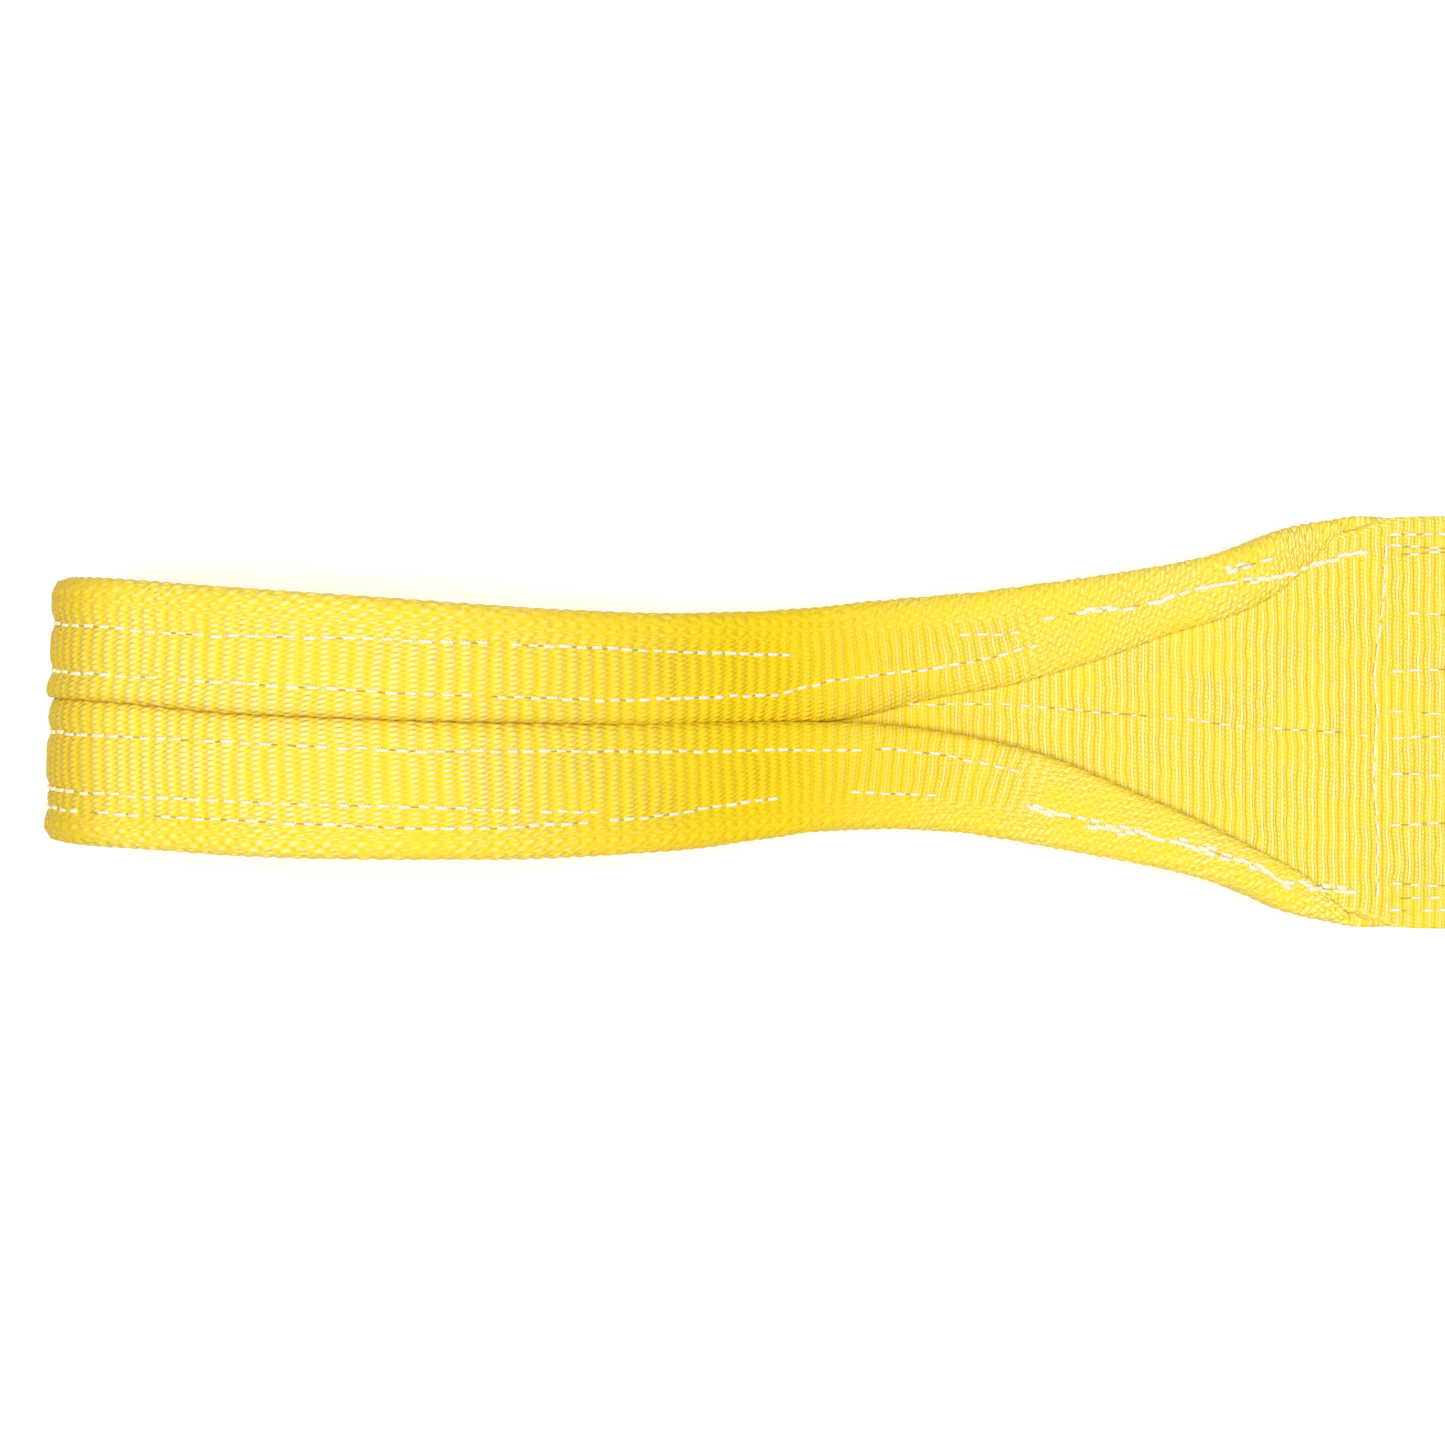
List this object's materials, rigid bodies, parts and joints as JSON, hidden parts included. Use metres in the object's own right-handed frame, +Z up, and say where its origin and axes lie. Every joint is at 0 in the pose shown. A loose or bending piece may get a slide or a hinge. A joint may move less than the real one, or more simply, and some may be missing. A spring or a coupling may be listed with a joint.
{
  "type": "web sling",
  "caption": "Flat two-ply woven lifting sling, lying at rest, with a folded and stitched soft eye at each end and a blank sewn label.",
  "frame": {"origin": "bottom centre: mid length, mid width, on the surface that the sling lies on", "axes": "+X along the sling, +Z up through both plies, +Y across the web towards its back edge"},
  "size_m": [1.001, 0.09, 0.0622],
  "materials": {
    "webbing": "ribbed woven polyester, slightly glossy yarn",
    "thread": "twisted cream polyester sewing thread",
    "liner": "plain woven wear strip",
    "label": "coated blue label cloth, blank"
  },
  "bodies": {
    "middle": {"middle_lower_ply": "webbing", "middle_seams": "thread", "middle_upper_ply": "webbing"},
    "left_span": {"left_cross_seam": "thread", "left_end_seams": "thread", "left_lower_ply": "webbing", "left_upper_ply": "webbing", "label_tab": "label", "label_seam": "thread"},
    "right_span": {"right_cross_seam": "thread", "right_end_seams": "thread", "right_lower_ply": "webbing", "right_upper_ply": "webbing"},
    "left_eye": {"left_eye_back_flap": "webbing", "left_eye_back_seams": "thread", "left_eye_front_flap": "webbing", "left_eye_front_seams": "thread", "left_eye_liner": "liner", "left_eye_web": "webbing"},
    "right_eye": {"right_eye_back_flap": "webbing", "right_eye_back_seams": "thread", "right_eye_front_flap": "webbing", "right_eye_front_seams": "thread", "right_eye_liner": "liner", "right_eye_web": "webbing"},
    "label": {"label_flap": "label"}
  },
  "joints": [
    {"name": "left_body_fold", "type": "hinge", "parent": "middle", "child": "left_span", "pos_m": [-0.075, 0, 0.007], "axis": [0, 1, 0], "range_deg": [0, 60]},
    {"name": "right_body_fold", "type": "hinge", "parent": "middle", "child": "right_span", "pos_m": [0.075, 0, 0.007], "axis": [0, -1, 0], "range_deg": [0, 60]},
    {"name": "left_eye_fold", "type": "hinge", "parent": "left_span", "child": "left_eye", "pos_m": [-0.231, 0, 0.007], "axis": [0, -1, 0], "range_deg": [-50, 0]},
    {"name": "right_eye_fold", "type": "hinge", "parent": "right_span", "child": "right_eye", "pos_m": [0.231, 0, 0.007], "axis": [0, 1, 0], "range_deg": [-50, 0]},
    {"name": "label_fold", "type": "hinge", "parent": "left_span", "child": "label", "pos_m": [-0.098, 0, 0.0087], "axis": [0, -1, 0], "range_deg": [-110, 0]}
  ]
}
